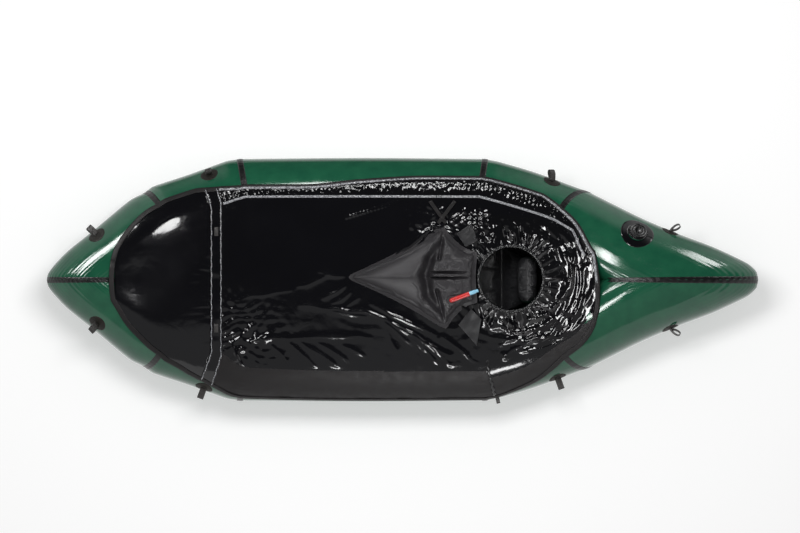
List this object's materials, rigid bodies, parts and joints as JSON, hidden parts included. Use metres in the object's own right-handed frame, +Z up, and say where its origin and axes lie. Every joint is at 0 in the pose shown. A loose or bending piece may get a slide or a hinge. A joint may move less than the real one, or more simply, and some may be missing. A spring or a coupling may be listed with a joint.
{
  "type": "packraft",
  "caption": "One-person inflatable packraft: mitred fabric tubes, a glossy spray deck with a gathered cockpit hole, knee pillow, seat, backrest, inflation valve and webbing tie-downs",
  "frame": {"origin": "centre of the overall box's footprint, on the ground under the floor", "axes": "+Z up, -X towards the bow, +Y towards starboard"},
  "size_m": [2.7104, 0.9338, 0.3589],
  "materials": {
    "hull_fabric": "coated nylon, glossy",
    "deck_fabric": "thin coated nylon, very glossy",
    "tape": "welded coated tape, matte",
    "pillow_fabric": "coated nylon, matte",
    "seat_fabric": "coated nylon, matte",
    "webbing": "woven polyester webbing",
    "patch_fabric": "coated nylon, matte",
    "valve_plastic": "moulded",
    "steel": "drawn wire",
    "red_tube": "soft moulded tube",
    "blue_plastic": "moulded"
  },
  "bodies": {
    "hull": {"bow_centre_tape": "tape", "bow_cone_port": "hull_fabric", "bow_cone_starboard": "hull_fabric", "bow_deck_panel": "deck_fabric", "bow_quarter_port": "hull_fabric", "bow_quarter_starboard": "hull_fabric", "closure_band": "webbing", "closure_welt": "deck_fabric", "cockpit_skirt": "deck_fabric", "deck_cross_band": "tape", "deck_rim_tape": "webbing", "floor_sheet": "tape", "hem_elastic": "deck_fabric", "keeper_port": "webbing", "keeper_starboard": "webbing", "knee_pillow": "pillow_fabric", "loop_patch_bow_port": "patch_fabric", "loop_patch_bow_quarter_port": "patch_fabric", "loop_patch_bow_quarter_starboard": "patch_fabric", "loop_patch_bow_starboard": "patch_fabric", "loop_patch_stern_port": "patch_fabric", "loop_patch_stern_quarter_port": "patch_fabric", "loop_patch_stern_quarter_starboard": "patch_fabric", "loop_patch_stern_starboard": "patch_fabric", "main_deck_panel": "deck_fabric", "mouth_valve_stem": "red_tube", "pillow_cross_tape": "tape", "rim_gather_band": "deck_fabric", "seam_tape_bow_shoulder_port": "tape", "seam_tape_bow_shoulder_starboard": "tape", "seam_tape_bow_side_port": "tape", "seam_tape_bow_side_starboard": "tape", "seam_tape_stern_shoulder_port": "tape", "seam_tape_stern_shoulder_starboard": "tape", "seam_tape_stern_side_port": "tape", "seam_tape_stern_side_starboard": "tape", "seat_cushion": "seat_fabric", "side_tube_port": "hull_fabric", "side_tube_starboard": "hull_fabric", "stern_centre_tape": "tape", "stern_cone_port": "hull_fabric", "stern_cone_starboard": "hull_fabric", "stern_quarter_port": "hull_fabric", "stern_quarter_starboard": "hull_fabric", "valve_body": "valve_plastic", "valve_patch": "valve_plastic", "valve_spring": "steel"},
    "backrest": {"backrest": "seat_fabric"},
    "valve_cap": {"valve_cap": "valve_plastic"},
    "valve_plunger": {"valve_plunger": "blue_plastic"},
    "mouth_valve_tip": {"mouth_valve_tip": "blue_plastic"},
    "pull_loop": {"pull_loop": "webbing"},
    "web_loop_bow_starboard": {"web_loop_bow_starboard": "webbing"},
    "web_loop_bow_port": {"web_loop_bow_port": "webbing"},
    "web_loop_bow_quarter_starboard": {"web_loop_bow_quarter_starboard": "webbing"},
    "web_loop_bow_quarter_port": {"web_loop_bow_quarter_port": "webbing"},
    "web_loop_stern_quarter_starboard": {"web_loop_stern_quarter_starboard": "webbing"},
    "web_loop_stern_quarter_port": {"web_loop_stern_quarter_port": "webbing"},
    "web_loop_stern_starboard": {"web_loop_stern_starboard": "webbing"},
    "web_loop_stern_port": {"web_loop_stern_port": "webbing"}
  },
  "joints": [
    {"name": "backrest_fold", "type": "hinge", "parent": "hull", "child": "backrest", "pos_m": [0.43355, 0.00449, 0.0778], "axis": [0, -1, 0], "range_deg": [0, 90]},
    {"name": "valve_cap_lift", "type": "slide", "parent": "hull", "child": "valve_cap", "axis": [0.2121, 0.6094, 0.7639], "range_m": [0, 0.03]},
    {"name": "valve_plunger_press", "type": "slide", "parent": "hull", "child": "valve_plunger", "axis": [-0.2121, -0.6094, -0.7639], "range_m": [0, 0.007], "stiffness_N_per_m": 300, "springref_m": -0.002, "deforming": ["valve_spring"]},
    {"name": "mouth_valve_twist", "type": "hinge", "parent": "hull", "child": "mouth_valve_tip", "pos_m": [0.25409, -0.04798, 0.35037], "axis": [0.9371, 0.3491, 0], "range_deg": [0, 90]},
    {"name": "web_loop_bow_starboard_flop", "type": "hinge", "parent": "hull", "child": "web_loop_bow_starboard", "pos_m": [-1.16533, 0.17845, 0.24434], "axis": [-0.6655, -0.7044, 0.2468], "range_deg": [-100, 20]},
    {"name": "web_loop_bow_port_flop", "type": "hinge", "parent": "hull", "child": "web_loop_bow_port", "pos_m": [-1.16329, -0.16387, 0.25205], "axis": [0.6591, -0.7151, -0.2328], "range_deg": [-70, 50]},
    {"name": "web_loop_bow_quarter_starboard_flop", "type": "hinge", "parent": "hull", "child": "web_loop_bow_quarter_starboard", "pos_m": [-0.73691, 0.40948, 0.22846], "axis": [-0.9423, -0.331, 0.0503], "range_deg": [-25, 95]},
    {"name": "web_loop_bow_quarter_port_flop", "type": "hinge", "parent": "hull", "child": "web_loop_bow_quarter_port", "pos_m": [-0.75675, -0.40912, 0.20249], "axis": [0.9414, -0.3338, -0.049], "range_deg": [-100, 20]},
    {"name": "web_loop_stern_quarter_starboard_flop", "type": "hinge", "parent": "hull", "child": "web_loop_stern_quarter_starboard", "pos_m": [0.56959, 0.38284, 0.19547], "axis": [-0.7538, -0.0123, 0.657], "range_deg": [-100, 20]},
    {"name": "web_loop_stern_quarter_port_flop", "type": "hinge", "parent": "hull", "child": "web_loop_stern_quarter_port", "pos_m": [0.59069, -0.37152, 0.18116], "axis": [0.9427, 0.3337, 0], "range_deg": [-75, 45]},
    {"name": "web_loop_stern_starboard_flop", "type": "hinge", "parent": "hull", "child": "web_loop_stern_starboard", "pos_m": [1.01919, 0.19241, 0.19586], "axis": [-0.0967, 0.2656, -0.9592], "range_deg": [-100, 20]},
    {"name": "web_loop_stern_port_flop", "type": "hinge", "parent": "hull", "child": "web_loop_stern_port", "pos_m": [1.01919, -0.18343, 0.19586], "axis": [0.0967, 0.2656, 0.9592], "range_deg": [-100, 20]},
    {"name": "pull_loop_flop", "type": "hinge", "parent": "hull", "child": "pull_loop", "pos_m": [0.35926, -0.4408, 0.18278], "axis": [0.9801, 0.1984, 0], "range_deg": [-30, 30]}
  ]
}
